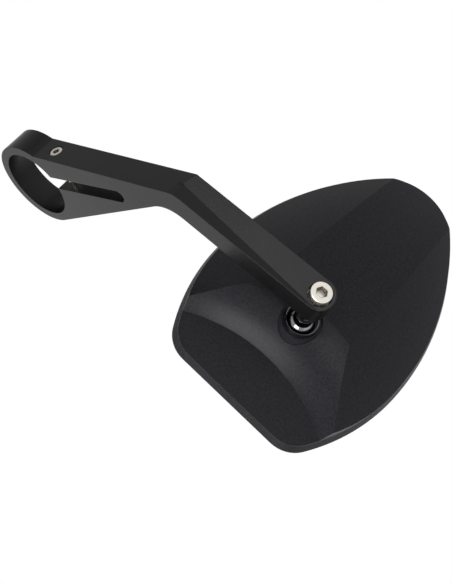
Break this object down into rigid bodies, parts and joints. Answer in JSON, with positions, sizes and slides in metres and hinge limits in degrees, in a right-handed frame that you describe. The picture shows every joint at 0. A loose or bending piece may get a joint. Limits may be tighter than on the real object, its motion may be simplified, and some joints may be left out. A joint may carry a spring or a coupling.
{
  "type": "motorcycle handlebar mirror",
  "caption": "Black mirror with a faceted drop-shaped head on a ball joint, held by a bent machined arm that clamps round a handlebar end.",
  "frame": {"origin": "on the clamp bore's axis, in the middle of the arm's thickness", "axes": "+Y along the bar that the arm clamps, +Z along the arm's upright segment, +X towards the back of the mirror head, so the glass faces -X"},
  "size_m": [0.0968, 0.1337, 0.1933],
  "materials": {
    "black_anodised": "black anodised, fine satin",
    "black_coated": "black powder coat on a die casting, satin",
    "stainless": "bright stainless steel",
    "chrome_plated": "chrome plated, polished",
    "nylon_liner": "moulded nylon",
    "zinc_casting": "die-cast zinc",
    "plate_plastic": "moulded plastic",
    "adhesive_foam": "foam tape",
    "mirror_glass": "silvered glass"
  },
  "bodies": {
    "arm": {"clamp_arm": "black_anodised", "clamp_screw": "stainless", "pivot_screw": "stainless", "pivot_washer": "stainless"},
    "ball": {"ball_stud": "chrome_plated"},
    "seat": {"upper_seat": "nylon_liner", "lower_seat": "nylon_liner"},
    "head": {"mouth_ring": "chrome_plated", "ball_socket": "black_coated", "pressure_cup": "nylon_liner", "wave_spring": "stainless", "adjusting_plug": "zinc_casting", "socket_screws": "stainless", "mirror_housing": "black_coated", "backing_plate": "plate_plastic", "adhesive_pad": "adhesive_foam", "mirror_glass": "mirror_glass"}
  },
  "joints": [
    {"name": "head_swivel", "type": "hinge", "parent": "arm", "child": "ball", "pos_m": [0.0463, 0, 0.1257], "axis": [1, 0, 0], "range_deg": [-90, 30]},
    {"name": "head_yaw", "type": "hinge", "parent": "ball", "child": "seat", "pos_m": [0.0463, 0, 0.1257], "axis": [0, 0, 1], "range_deg": [-15, 15]},
    {"name": "head_pitch", "type": "hinge", "parent": "seat", "child": "head", "pos_m": [0.0463, 0, 0.1257], "axis": [0, 1, 0], "range_deg": [-15, 15]}
  ]
}
